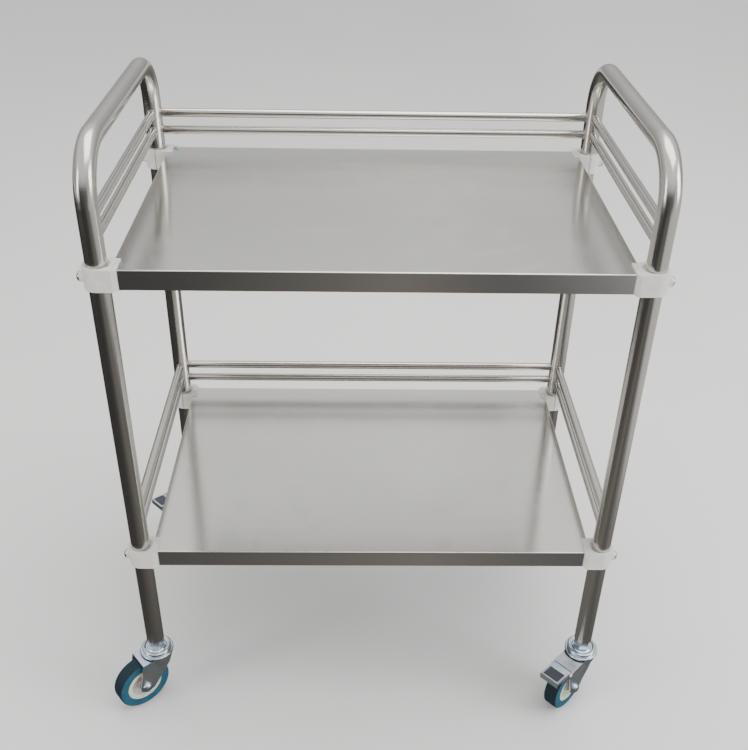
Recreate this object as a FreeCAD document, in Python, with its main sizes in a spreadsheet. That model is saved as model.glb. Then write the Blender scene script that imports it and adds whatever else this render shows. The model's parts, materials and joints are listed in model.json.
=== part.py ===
"""Two-shelf instrument cart: bent tube end frames, folded shelves, corner clamps, swivel casters.

Millimetres, +Z up, +X to the right, -Y is the open front.  The origin is on the floor, midway
between the four legs.  Every driving size is one cell of the "Sizes" sheet; every other size is
a formula of those cells, so a changed cell carries its neighbours with it.
"""
import FreeCAD, Part
import os
import re

import Sketcher
from FreeCAD import Placement, Rotation, Vector

SIZES = {
    # overall layout
    "overall_height": 861,
    "upper_shelf_height": 717,
    "lower_shelf_height": 291,
    # shelves
    "shelf_width": 600,
    "shelf_depth": 400,
    "shelf_lip": 25,
    "sheet_thickness": 1.0,
    "fold_radius": 1.6,
    "hem_height": 6,
    # end frames
    "tube_diameter": 25,
    "tube_wall": 1.2,
    "bend_radius": 60,
    "leg_shelf_gap": 3.5,
    "leg_front_inset": 10,
    # guard rails
    "rail_diameter": 12,
    "rail_wall": 1.0,
    "top_rail_above_shelf": 54,
    "bottom_rail_above_shelf": 29,
    # corner clamps
    "clamp_wall": 4.0,
    "clamp_bore_gap": 0.15,
    "clamp_rise": 3,
    "clamp_drop": 0.5,
    "clamp_corner_cut": 5,
    "flap_thickness": 1.8,
    "flap_reach": 8,
    "flap_length": 27,
    "pocket_gap": 0.15,
    "boss_diameter": 14,
    "boss_rise": 3.2,
    "slit_width": 0.8,
    "relief_shift": 3.2,
    "relief_depth": 2.0,
    # clamp bolts, washers and nuts
    "bolt_diameter": 6,
    "bolt_hole_gap": 0.3,
    "thread_gap": 0.05,
    "bolt_head_diameter": 12.6,
    "bolt_head_height": 4.2,
    "bolt_tail": 2,
    "washer_diameter": 12,
    "washer_thickness": 1.2,
    "nut_corner_diameter": 11.5,
    "nut_height": 5,
    # caster stem and swivel
    "stem_diameter": 12,
    "stem_length": 40,
    "stem_hex_corner_diameter": 25,
    "stem_hex_height": 8,
    "jam_nut_height": 8,
    "insert_height": 20,
    "insert_gap": 0.05,
    "king_pin_diameter": 12,
    "king_pin_gap": 0.3,
    "rivet_diameter": 18,
    "rivet_height": 2.6,
    "cup_diameter": 42,
    "ball_top_gap": 0.5,
    "cup_wall": 1.7,
    "race_overhang": 3,
    "race_height": 3.5,
    "race_neck_diameter": 27,
    "race_neck_height": 1.6,
    "race_groove_depth": 1.2,
    "ball_side_gap": 1.4,
    "swivel_gap": 0.35,
    "ball_diameter": 4.2,
    "ball_circle_diameter": 31,
    # wheel
    "wheel_diameter": 80,
    "wheel_width": 21,
    "wheel_top_gap": 2,
    "tread_thickness": 13,
    "tread_shoulder": 2.6,
    "bond_gap": 0.02,
    "hub_face_inset": 0.6,
    "hub_rim_width": 6,
    "hub_dish_depth": 6,
    "hub_boss_diameter": 19,
    "hub_boss_draft": 1,
    "hub_rim_draft": 2,
    "trail": 31,
    # fork and axle
    "fork_outer_width": 34,
    "fork_thickness": 2.2,
    "fork_plate_thickness": 2.5,
    "fork_plate_front": 32,
    "fork_plate_rear": 13,
    "fork_tip_diameter": 20,
    "fork_tip_front_angle": 15,
    "cheek_waist_back": 4,
    "cheek_waist_drop": 24,
    "cheek_heel_back": 11,
    "cheek_heel_drop": 8.5,
    "bell_diameter": 44,
    "bell_shoulder_drop": 5,
    "bell_foot_drop": 24,
    "bell_foot_inset": 0.5,
    "sleeve_diameter": 12,
    "sleeve_end_gap": 0.05,
    "hub_running_gap": 0.05,
    "axle_diameter": 8,
    "axle_hole_gap": 0.1,
    "axle_head_corner_diameter": 14.4,
    "axle_head_height": 5,
    "axle_nut_diameter": 15.5,
    "axle_nut_height": 6.2,
    # brake pedals, on two diagonal casters
    "brake_plate_front": 44,
    "pin_lead": 0.425,
    "pivot_drop": 5.5,
    "pivot_pin_diameter": 4,
    "pivot_gap": 0.06,
    "pin_head_diameter": 6.4,
    "pin_head_height": 1.4,
    "ear_diameter": 8.6,
    "pedal_sheet": 1.4,
    "pedal_side_gap": 0.4,
    "pedal_plate_gap": 0.4,
    "pedal_rear": 46.6,
    "pedal_front": 82,
    "pedal_slope_rise": 3,
    "pedal_width": 30,
    "pedal_rim_width": 2.6,
    "pedal_rim": 1.6,
    "pedal_lip_drop": 7,
    "rib_pitch": 2.6,
    "rib_height": 1.0,
    "shoe_swing": 18,
    "shoe_contact_angle": 50,
    "shoe_gap": 0.45,
    "shoe_thickness": 2,
    # caster directions: the trail's angle from +X
    "front_left_yaw": 219,
    "front_right_yaw": 225,
    "rear_left_yaw": 225,
    "rear_right_yaw": 221,
}

RIB_COUNT = 4

DERIVED = {
    "tube_r": "tube_diameter / 2",
    "leg_side_offset": "tube_diameter / 2 + leg_shelf_gap",
    "leg_x": "shelf_width / 2 + leg_side_offset",
    "leg_y": "shelf_depth / 2 - leg_front_inset",
    "handle_z": "overall_height - tube_diameter / 2",
    "bend_z": "handle_z - bend_radius",
    "bend_y": "leg_y - bend_radius",
    # heights of the caster's stack, from the floor up
    "plate_under_z": "wheel_diameter + wheel_top_gap",
    "plate_top_z": "plate_under_z + fork_plate_thickness",
    "race_under_z": "plate_top_z + race_neck_height",
    "race_top_z": "race_under_z + race_height",
    "cup_under_z": "race_top_z + swivel_gap",
    "race_groove_r": "(ball_circle_diameter + ball_diameter) / 2 + ball_side_gap",
    "cup_height": "ball_diameter - race_groove_depth + ball_top_gap + cup_wall",
    "cup_crown_r": "(ball_circle_diameter + ball_diameter) / 2",
    "cup_top_z": "cup_under_z + cup_height",
    "hex_top_z": "cup_top_z + stem_hex_height",
    "leg_bottom_z": "hex_top_z + jam_nut_height",
    "axle_z": "wheel_diameter / 2",
    # corner clamp, from the leg's axis at the level of the shelf's top
    "sleeve_r": "tube_diameter / 2 + clamp_bore_gap + clamp_wall",
    "clamp_bore_r": "tube_diameter / 2 + clamp_bore_gap",
    "flap_edge": "leg_side_offset + flap_reach",
    "flap_back": "flap_length - leg_front_inset",
    "clamp_under": "0 - shelf_lip - clamp_drop",
    "bolt_z": "0 - shelf_lip / 2",
    "boss_face": "sleeve_r + boss_rise",
    "bolt_end": "nut_face + nut_height + bolt_tail",
    "washer_face": "leg_side_offset + sheet_thickness",
    "nut_face": "washer_face + washer_thickness",
    # wheel and fork
    "wheel_r": "wheel_diameter / 2",
    "hub_r": "wheel_diameter / 2 - tread_thickness",
    "hub_half": "wheel_width / 2 - hub_face_inset",
    "fork_inner_half": "fork_outer_width / 2 - fork_thickness",
    "bell_shoulder_z": "plate_top_z - bell_shoulder_drop",
    "bell_foot_z": "plate_top_z - bell_foot_drop",
    "bell_foot_r": "fork_outer_width / 2 - bell_foot_inset",
    # brake pedal
    "pivot_z": "plate_top_z - pivot_drop",
    "pivot_forward": "trail + wheel_r * pin_lead",
    "pedal_under_z": "plate_top_z + pedal_plate_gap",
    "pedal_cheek_half": "fork_inner_half - pedal_side_gap",
    "pedal_length": "pedal_front - pedal_rear",
    "ribbed_length": f"rib_pitch * {RIB_COUNT + 1}",
    "ribbed_rise": "pedal_slope_rise * ribbed_length / pedal_length",
    # brake shoe: its tip clears the tread by shoe_gap once the pedal is down
    "tip_x": "trail + (wheel_r + shoe_gap) * cos(shoe_contact_angle) - pivot_forward",
    "tip_z": "axle_z + (wheel_r + shoe_gap) * sin(shoe_contact_angle) - pivot_z",
    "shoe_x": "pivot_forward + tip_x * cos(shoe_swing) - tip_z * sin(shoe_swing)",
    "shoe_z": "pivot_z + tip_x * sin(shoe_swing) + tip_z * cos(shoe_swing)",
}

WORD = re.compile(r"[a-z][a-z_]*")
CORNERS = {
    "front_left": (-1, -1),
    "front_right": (1, -1),
    "rear_left": (-1, 1),
    "rear_right": (1, 1),
}
BRAKED = ("front_right", "rear_left")
TIERS = {"upper": "upper_shelf_height", "lower": "lower_shelf_height"}
BALLS_PER_SWIVEL = 16
# one rib: share of the pitch, share of the rib's height
RIB_PROFILE = ((0.4, 0), (0.6, 1), (0.9, 1), (1.1, 0))
OVERCUT = 5
SKETCH_START_RADIUS = 10
TO_X = Rotation(Vector(0, 1, 0), 90)
TO_Y = Rotation(Vector(1, 0, 0), -90)
TO_Z = Rotation()

doc = FreeCAD.newDocument("InstrumentCart")
sub_parts = []


# ---------------------------------------------------------------- sheet and formulas

def fill_sheet():
    sheet = doc.addObject("Spreadsheet::Sheet", "Sizes")
    for row, (name, value) in enumerate(SIZES.items(), 1):
        sheet.set(f"A{row}", name)
        sheet.set(f"B{row}", str(value))
        sheet.setAlias(f"B{row}", name)
    doc.recompute()


def formula(text):
    """Write a formula of size names as an expression on the sheet's cells."""
    def swap(match):
        word = match.group(0)
        if word in DERIVED:
            return "(" + formula(DERIVED[word]) + ")"
        if word in SIZES:
            return "Sizes." + word
        return word
    return WORD.sub(swap, str(text))


def bind(item, path, text):
    item.setExpression(path, formula(text))


def times(sign, text):
    return f"{sign} * ({text})"


def place(item, x=0, y=0, z=0, rotation=TO_Z):
    item.Placement = Placement(Vector(), rotation)
    bind(item, "Placement.Base.x", x)
    bind(item, "Placement.Base.y", y)
    bind(item, "Placement.Base.z", z)
    return item


def node(item, label):
    """Name a finished sub-part; the label names its file."""
    item.Label = label
    sub_parts.append(item)
    return item


# ---------------------------------------------------------------- primitives and booleans

def box(x, y, z):
    """A block between the two formulas of each span."""
    block = doc.addObject("Part::Box", "Block")
    for side, (low, high) in (("Length", x), ("Width", y), ("Height", z)):
        bind(block, side, f"({high}) - ({low})")
    return place(block, x[0], y[0], z[0])


def span(sign, low, high):
    """The span low..high, or its mirror image when sign is -1."""
    if sign > 0:
        return (low, high)
    return (f"0 - ({high})", f"0 - ({low})")


def rod(radius, length, x=0, y=0, z=0, rotation=TO_Z):
    round_bar = doc.addObject("Part::Cylinder", "Rod")
    bind(round_bar, "Radius", radius)
    bind(round_bar, "Height", length)
    return place(round_bar, x, y, z, rotation)


def rod_along_x(radius, x, y, z):
    return rod(radius, f"({x[1]}) - ({x[0]})", x[0], y, z, TO_X)


def rod_along_y(radius, x, y, z):
    return rod(radius, f"({y[1]}) - ({y[0]})", x, y[0], z, TO_Y)


def hexagon(corner_diameter, height, x=0, y=0, z=0, rotation=TO_Z):
    prism = doc.addObject("Part::Prism", "Hexagon")
    prism.Polygon = 6
    bind(prism, "Circumradius", f"({corner_diameter}) / 2")
    bind(prism, "Height", height)
    return place(prism, x, y, z, rotation)


def dome(radius, height, x=0, y=0, z=0, rotation=TO_Z):
    half = doc.addObject("Part::Ellipsoid", "Dome")
    half.Angle1 = 0
    bind(half, "Radius1", height)
    bind(half, "Radius2", radius)
    bind(half, "Radius3", radius)
    return place(half, x, y, z, rotation)


def fuse(*items):
    joined = doc.addObject("Part::MultiFuse", "Fused")
    joined.Shapes = list(items)
    return joined


def cut(base, *tools):
    result = doc.addObject("Part::Cut", "Cut")
    result.Base = base
    result.Tool = tools[0] if len(tools) == 1 else fuse(*tools)
    return result


def group(items, label):
    """Identical pieces that share one node, as separate solids."""
    together = doc.addObject("Part::Compound", "Group")
    together.Links = items
    return node(together, label)


# ---------------------------------------------------------------- sketched bodies

def new_body(name):
    return doc.addObject("PartDesign::Body", name)


def new_sketch(body, role):
    sketch = body.newObject("Sketcher::SketchObject", "Outline")
    plane = [face for face in body.Origin.OriginFeatures if face.Role == role][0]
    sketch.AttachmentSupport = [(plane, "")]
    sketch.MapMode = "FlatFace"
    return sketch


def pin_point(sketch, line, x, y):
    for kind, text in (("DistanceX", x), ("DistanceY", y)):
        rule = sketch.addConstraint(Sketcher.Constraint(kind, -1, 1, line, 1, 1.0))
        bind(sketch, f"Constraints[{rule}]", text)


def outline(sketch, points):
    """A closed run of straight lines, each corner held by two formulas."""
    count = len(points)
    turn = Rotation(Vector(0, 0, 1), 360 / count)
    start = [Vector(SKETCH_START_RADIUS, 0, 0)]
    for _ in range(count - 1):
        start.append(turn.multVec(start[-1]))
    lines = [Part.LineSegment(start[i], start[(i + 1) % count]) for i in range(count)]
    first = sketch.addGeometry(lines, False)[0]
    for i in range(count):
        after = first + (i + 1) % count
        sketch.addConstraint(Sketcher.Constraint("Coincident", first + i, 2, after, 1))
    for i, (x, y) in enumerate(points):
        pin_point(sketch, first + i, x, y)
    return sketch


def circle(sketch, radius, x=0, y=0):
    """A circle whose centre and radius are held by formulas."""
    ring = sketch.addGeometry(Part.Circle(Vector(1, 1, 0), Vector(0, 0, 1), 1), False)
    size = sketch.addConstraint(Sketcher.Constraint("Radius", ring, 1.0))
    bind(sketch, f"Constraints[{size}]", radius)
    for kind, text in (("DistanceX", x), ("DistanceY", y)):
        rule = sketch.addConstraint(Sketcher.Constraint(kind, -1, 1, ring, 3, 1.0))
        bind(sketch, f"Constraints[{rule}]", text)
    return sketch


def extrude(body, kind, sketch, length, symmetric=True, offset=None):
    """Pad or pocket a sketch, both ways from its plane or along +Z from an offset."""
    if offset is not None:
        bind(sketch, "AttachmentOffset.Base.z", offset)
    feature = body.newObject(kind, "Extrusion")
    feature.Profile = sketch
    feature.SideType = "Symmetric" if symmetric else "One side"
    bind(feature, "Length", length)
    sketch.Visibility = False
    return feature


def turn_profile(body, points, plane="XY_Plane", kind="PartDesign::Revolution"):
    """Add or remove a (radius, height) profile turned about the plane's upright axis."""
    sketch = outline(new_sketch(body, plane), points)
    feature = body.newObject(kind, "Turned")
    feature.Profile = sketch
    feature.ReferenceAxis = (sketch, ["V_Axis"])
    feature.Angle = 360
    return feature


def edges_of_radius(shape, radius):
    """Names of the circular edges of one radius."""
    names = []
    for number, edge in enumerate(shape.Edges, 1):
        if isinstance(edge.Curve, Part.Circle) and abs(edge.Curve.Radius - radius) < 1e-4:
            names.append(f"Edge{number}")
    return names


# ---------------------------------------------------------------- end frames and rails

def frame_solid(radius, x):
    """An upside-down U: two legs, two quarter bends and the handle bar between them."""
    pieces = [rod_along_y(radius, x, ("0 - (bend_y)", "bend_y"), "handle_z")]
    for sign in (-1, 1):
        y = times(sign, "leg_y")
        pieces.append(rod(radius, "bend_z - (leg_bottom_z)", x, y, "leg_bottom_z"))
        quarter = doc.addObject("Part::Torus", "Bend")
        quarter.Angle3 = 90
        bind(quarter, "Radius1", "bend_radius")
        bind(quarter, "Radius2", radius)
        outward = Vector(0, sign, 0)
        up = Vector(0, 0, 1)
        facing = Rotation(outward, up, outward.cross(up), "XYZ")
        pieces.append(place(quarter, x, times(sign, "bend_y"), "bend_z", facing))
    return fuse(*pieces)


def end_frame(label, side):
    x = times(side, "leg_x")
    reach = ("leg_x - tube_diameter", "leg_x + tube_diameter")
    holes = []
    for shelf in TIERS.values():
        for end in (-1, 1):
            height = f"{shelf} + bolt_z"
            hole_r = "bolt_diameter / 2 + bolt_hole_gap"
            holes.append(rod_along_x(hole_r, span(side, *reach), times(end, "leg_y"), height))
    open_end = [
        rod("tube_r - tube_wall", OVERCUT, x, times(end, "leg_y"), f"leg_bottom_z - {OVERCUT}")
        for end in (-1, 1)
    ]
    bore = frame_solid("tube_r - tube_wall", x)
    node(cut(frame_solid("tube_r", x), bore, *open_end, *holes), label)


def side_rail(label, side, height):
    x = times(side, "leg_x")
    legs = [rod("tube_r", "2 * rail_diameter", x, times(end, "leg_y"),
                f"{height} - rail_diameter") for end in (-1, 1)]
    reach = ("0 - (leg_y)", "leg_y")
    bore = rod_along_y("rail_diameter / 2 - rail_wall", x, reach, height)
    node(cut(rod_along_y("rail_diameter / 2", x, reach, height), bore, *legs), label)


def back_rail(label, height):
    legs = [rod("tube_r", "2 * rail_diameter", times(side, "leg_x"), "leg_y",
                f"{height} - rail_diameter") for side in (-1, 1)]
    reach = ("0 - (leg_x)", "leg_x")
    bore = rod_along_x("rail_diameter / 2 - rail_wall", reach, "leg_y", height)
    node(cut(rod_along_x("rail_diameter / 2", reach, "leg_y", height), bore, *legs), label)


def guard_rails():
    for tier, shelf in TIERS.items():
        for row, above in (("top", "top_rail_above_shelf"), ("bottom", "bottom_rail_above_shelf")):
            height = f"({shelf} + {above})"
            side_rail(f"{tier}_left_side_rail_{row}", -1, height)
            side_rail(f"{tier}_right_side_rail_{row}", 1, height)
            back_rail(f"{tier}_back_rail_{row}", height)


# ---------------------------------------------------------------- shelves

TOP_AND_CORNER_FOLDS = (1, 2, 3, 5, 6, 7, 10, 12)


def shelf_blank(inset, z):
    half_x = f"(shelf_width / 2 - ({inset}))"
    half_y = f"(shelf_depth / 2 - ({inset}))"
    return box((f"0 - {half_x}", half_x), (f"0 - {half_y}", half_y), z)


def corner_pads():
    """The four corners of the top sheet that lie under the clamps' flaps."""
    pads = []
    edge_x = ("shelf_width / 2 - flap_reach - pocket_gap", f"shelf_width / 2 + {OVERCUT}")
    edge_y = ("shelf_depth / 2 - flap_length - pocket_gap", f"shelf_depth / 2 + {OVERCUT}")
    for side, end in CORNERS.values():
        level = ("0 - sheet_thickness / 2", f"{OVERCUT}")
        pads.append(box(span(side, *edge_x), span(end, *edge_y), level))
    return fuse(*pads)


def shelf(label, height):
    """A sheet folded down on all four sides, hemmed inside along the bottom of the lip."""
    blank = shelf_blank("0", ("0 - shelf_lip", "0"))
    doc.recompute()
    folded = doc.addObject("Part::Fillet", "Folds")
    folded.Base = blank
    fold = SIZES["fold_radius"]
    folded.Edges = [(edge, fold, fold) for edge in TOP_AND_CORNER_FOLDS]
    hem_top = "hem_height - shelf_lip"
    hollow = shelf_blank("sheet_thickness", (hem_top, "0 - sheet_thickness"))
    mouth = shelf_blank("2 * sheet_thickness", (f"0 - shelf_lip - {OVERCUT}", hem_top))
    bolt_holes = []
    for side, end in CORNERS.values():
        reach = ("shelf_width / 2 - 3 * sheet_thickness", f"shelf_width / 2 + {OVERCUT}")
        bolt_holes.append(rod_along_x("bolt_diameter / 2 + bolt_hole_gap", span(side, *reach),
                                      times(end, "leg_y"), "bolt_z"))
    tray = cut(folded, hollow, mouth, *bolt_holes)
    corners = doc.addObject("Part::Common", "Corners")
    corners.Base = tray
    corners.Tool = corner_pads()
    whole = fuse(cut(tray, corner_pads()), corners)
    whole.Refine = False
    node(place(whole, 0, 0, height), label)


# ---------------------------------------------------------------- corner clamps and their bolts

def clamp_body(inboard, inward):
    """Sleeve, bolt boss and shelf block.  inboard and inward are the signs of X and Y that
    point from the leg towards the middle of the shelf."""
    height = ("clamp_under", "clamp_rise")
    sleeve = rod("sleeve_r", "clamp_rise - (clamp_under)", 0, 0, "clamp_under")
    block = box(span(inboard, "0", "flap_edge"), span(inward, "0 - sleeve_r", "flap_back"), height)
    boss = rod_along_x("boss_diameter / 2", span(inboard, "0 - (boss_face)", "0"), 0, "bolt_z")
    return fuse(sleeve, block, boss)


def corner_cut(inboard, inward):
    """A square bar at 45 degrees that takes off the block's outer vertical corner."""
    half = "sleeve_r"
    shift = f"(({half}) / sqrt(2) - clamp_corner_cut / 2)"
    bar = doc.addObject("Part::Box", "Bar")
    bind(bar, "Length", f"2 * {half}")
    bind(bar, "Width", f"2 * {half}")
    bind(bar, "Height", "clamp_rise - (clamp_under) + 2")
    x = times(inboard, f"flap_edge + {shift}")
    y = times(inward, f"0 - sleeve_r - {shift}")
    return place(bar, x, f"{y} - sqrt(2) * {half}", "clamp_under - 1", Rotation(Vector(0, 0, 1), 45))


def corner_clamp(label, side, end, height):
    inboard = -side
    inward = -end
    beyond = f"flap_edge + {OVERCUT}"
    whole = ("clamp_under - 1", "clamp_rise + 1")
    bore = rod("clamp_bore_r", "clamp_rise - (clamp_under) + 2", 0, 0, "clamp_under - 1")
    pocket = box(span(inboard, "leg_side_offset - pocket_gap", beyond),
                 span(inward, "0 - leg_front_inset - pocket_gap", f"flap_back + {OVERCUT}"),
                 ("0 - shelf_lip - pocket_gap", "0"))
    step = box(span(inboard, "leg_side_offset + flap_thickness", beyond),
               span(inward, "0 - 2 * sleeve_r", f"flap_back + {OVERCUT}"),
               ("flap_thickness", "clamp_rise + 1"))
    slit = box(("0 - slit_width / 2", "slit_width / 2"),
               span(inward, "0", f"flap_back + {OVERCUT}"), whole)
    relief = rod("clamp_bore_r", "relief_depth + 1", times(inboard, "relief_shift"), 0,
                 "clamp_rise - relief_depth")
    hole = rod_along_x("bolt_diameter / 2 + bolt_hole_gap",
                       span(inboard, "0 - (boss_face) - 1", "flap_edge"), 0, "bolt_z")
    solid = cut(clamp_body(inboard, inward), bore, pocket, step, slit, relief, hole,
                corner_cut(inboard, inward))
    node(place(solid, times(side, "leg_x"), times(end, "leg_y"), height), label)


def outward_rotation(inboard):
    """Local +Z to the side that faces away from the shelf."""
    return Rotation(Vector(0, 1, 0), -90 * inboard)


def clamp_bolt(inboard, x, y, z):
    shank = rod_along_x("bolt_diameter / 2", span(inboard, "0 - (boss_face)", "bolt_end"), 0, "0")
    head = dome("bolt_head_diameter / 2", "bolt_head_height", times(inboard, "0 - (boss_face)"),
                0, 0, outward_rotation(inboard))
    return place(fuse(shank, head), x, y, z)


def clamp_washer(inboard, x, y, z):
    faces = span(inboard, "washer_face", "nut_face")
    disc = rod_along_x("washer_diameter / 2", faces, 0, "0")
    return place(cut(disc, rod_along_x("bolt_diameter / 2 + bolt_hole_gap", faces, 0, "0")), x, y, z)


def clamp_nut(inboard, x, y, z):
    faces = span(inboard, "nut_face", "nut_face + nut_height")
    block = hexagon("nut_corner_diameter", "nut_height", faces[0], 0, 0, TO_X)
    return place(cut(block, rod_along_x("bolt_diameter / 2 + thread_gap", faces, 0, "0")), x, y, z)


def clamps():
    bolts, washers, nuts = [], [], []
    for tier, shelf_height in TIERS.items():
        for corner, (side, end) in CORNERS.items():
            corner_clamp(f"{tier}_{corner}_clamp", side, end, shelf_height)
            at = (-side, times(side, "leg_x"), times(end, "leg_y"), f"{shelf_height} + bolt_z")
            bolts.append(clamp_bolt(*at))
            washers.append(clamp_washer(*at))
            nuts.append(clamp_nut(*at))
    group(bolts, "clamp_bolts")
    group(washers, "clamp_washers")
    group(nuts, "clamp_nuts")


# ---------------------------------------------------------------- caster: fixed half

def at_leg(item, corner):
    side, end = CORNERS[corner]
    return place(item, times(side, "leg_x"), times(end, "leg_y"), 0)


def leg_insert(corner):
    plug = rod("tube_r - tube_wall - insert_gap", "insert_height", 0, 0, "leg_bottom_z")
    bore = rod("stem_diameter / 2 + thread_gap", "insert_height", 0, 0, "leg_bottom_z")
    return at_leg(cut(plug, bore), corner)


def jam_nut(corner):
    block = hexagon("stem_hex_corner_diameter", "jam_nut_height", 0, 0, "hex_top_z")
    bore = rod("stem_diameter / 2 + thread_gap", "jam_nut_height", 0, 0, "hex_top_z")
    return at_leg(cut(block, bore), corner)


def caster_stem(corner):
    """Threaded stem, its hexagon, and the king pin riveted over below the fork plate."""
    stem = rod("stem_diameter / 2", "stem_length", 0, 0, "hex_top_z")
    collar = hexagon("stem_hex_corner_diameter", "stem_hex_height", 0, 0, "cup_top_z")
    rivet_top = "(plate_under_z - king_pin_gap)"
    pin = rod("king_pin_diameter / 2", f"cup_top_z - {rivet_top}", 0, 0, rivet_top)
    rivet = rod("rivet_diameter / 2", "rivet_height", 0, 0, f"{rivet_top} - rivet_height")
    return at_leg(fuse(stem, collar, pin, rivet), corner)


def swivel_cup(corner):
    """Pressed upper race: a crowned disc with a skirt over the balls."""
    def cone(top_r, bottom_r, height, z):
        frustum = doc.addObject("Part::Cone", "Cone")
        bind(frustum, "Radius1", bottom_r)
        bind(frustum, "Radius2", top_r)
        bind(frustum, "Height", height)
        return place(frustum, 0, 0, z)
    rim_z = "(cup_under_z + cup_wall)"
    skirt = rod("cup_diameter / 2", "cup_wall", 0, 0, "cup_under_z")
    crown = cone("cup_crown_r", "cup_diameter / 2", "cup_height - cup_wall", rim_z)
    hollow_low = rod("cup_diameter / 2 - cup_wall", "cup_wall", 0, 0, "cup_under_z")
    hollow_top = cone("cup_crown_r", "cup_diameter / 2 - cup_wall",
                      "cup_height - 2 * cup_wall", rim_z)
    bore = rod("king_pin_diameter / 2 + thread_gap", "cup_height", 0, 0, "cup_under_z")
    return at_leg(cut(fuse(skirt, crown), hollow_low, hollow_top, bore), corner)


def swivel_balls(corner):
    """One ring of bearing balls, standing under the cup's crown."""
    side, end = CORNERS[corner]
    balls = []
    for index in range(BALLS_PER_SWIVEL):
        angle = 360 / BALLS_PER_SWIVEL * index
        ball = doc.addObject("Part::Sphere", "Ball")
        bind(ball, "Radius", "ball_diameter / 2")
        x = times(side, "leg_x") + f" + ball_circle_diameter / 2 * cos({angle})"
        y = times(end, "leg_y") + f" + ball_circle_diameter / 2 * sin({angle})"
        z = "race_top_z - race_groove_depth + swivel_gap + ball_diameter / 2"
        balls.append(place(ball, x, y, z))
    return balls


def fixed_caster_pieces():
    group([leg_insert(corner) for corner in CORNERS], "leg_inserts")
    group([jam_nut(corner) for corner in CORNERS], "caster_jam_nuts")
    group([caster_stem(corner) for corner in CORNERS], "caster_stems")
    group([swivel_cup(corner) for corner in CORNERS], "swivel_cups")
    group(sum((swivel_balls(corner) for corner in CORNERS), []), "swivel_balls")


# ---------------------------------------------------------------- caster: fork, wheel, brake

def on_caster(item, corner, forward="0", height="0"):
    """Stand an item on a caster, turned to its trail direction."""
    side, end = CORNERS[corner]
    yaw = f"{corner}_yaw"
    item.Placement = Placement(Vector(), Rotation(Vector(0, 0, 1), SIZES[yaw]))
    bind(item, "Placement.Base.x", times(side, "leg_x") + f" + ({forward}) * cos({yaw})")
    bind(item, "Placement.Base.y", times(end, "leg_y") + f" + ({forward}) * sin({yaw})")
    bind(item, "Placement.Base.z", height)
    bind(item, "Placement.Rotation.Angle", yaw)
    return item


def fork_profile(braked):
    """Side view of the fork: X is forward from the swivel axis, Y is height."""
    tip = "fork_tip_diameter / 2"
    front = [("fork_plate_front", "plate_top_z")]
    if braked:
        ear = "ear_diameter / 2"
        front = [
            ("brake_plate_front", "plate_top_z"),
            ("pivot_forward", f"pivot_z + {ear}"),
            (f"pivot_forward + {ear}", "pivot_z"),
            (f"pivot_forward + {ear} / 2", f"pivot_z - {ear}"),
        ]
    return [("0 - fork_plate_rear", "plate_top_z")] + front + [
        (f"trail + {tip} * cos(fork_tip_front_angle)", f"axle_z + {tip} * sin(fork_tip_front_angle)"),
        ("trail", "axle_z"),
        ("trail", f"axle_z - {tip}"),
        ("trail - cheek_heel_back", "axle_z - cheek_heel_drop"),
        ("0 - cheek_waist_back", "plate_under_z - cheek_waist_drop"),
    ]


def bell_profile(inset, top):
    """Half section of the fork's round shoulder, under its race."""
    return [
        ("0", top),
        (f"bell_diameter / 2 - {inset}", top),
        (f"bell_diameter / 2 - {inset}", "bell_shoulder_z"),
        (f"bell_foot_r - {inset}", "bell_foot_z"),
        ("0", "bell_foot_z"),
    ]


def fork_hollow(braked):
    """Side view of the space between the two cheeks, open below and closed behind the shoulder."""
    far = "2 * wheel_diameter"
    rear = [(f"0 - {far}", "bell_foot_z"), ("0", "bell_foot_z"), ("0", "plate_under_z")]
    front = [(far, "plate_under_z")]
    if braked:
        front = [("brake_plate_front", "plate_under_z"), ("brake_plate_front", far), (far, far)]
    return rear + front + [(far, "0"), (f"0 - {far}", "0")]


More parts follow.
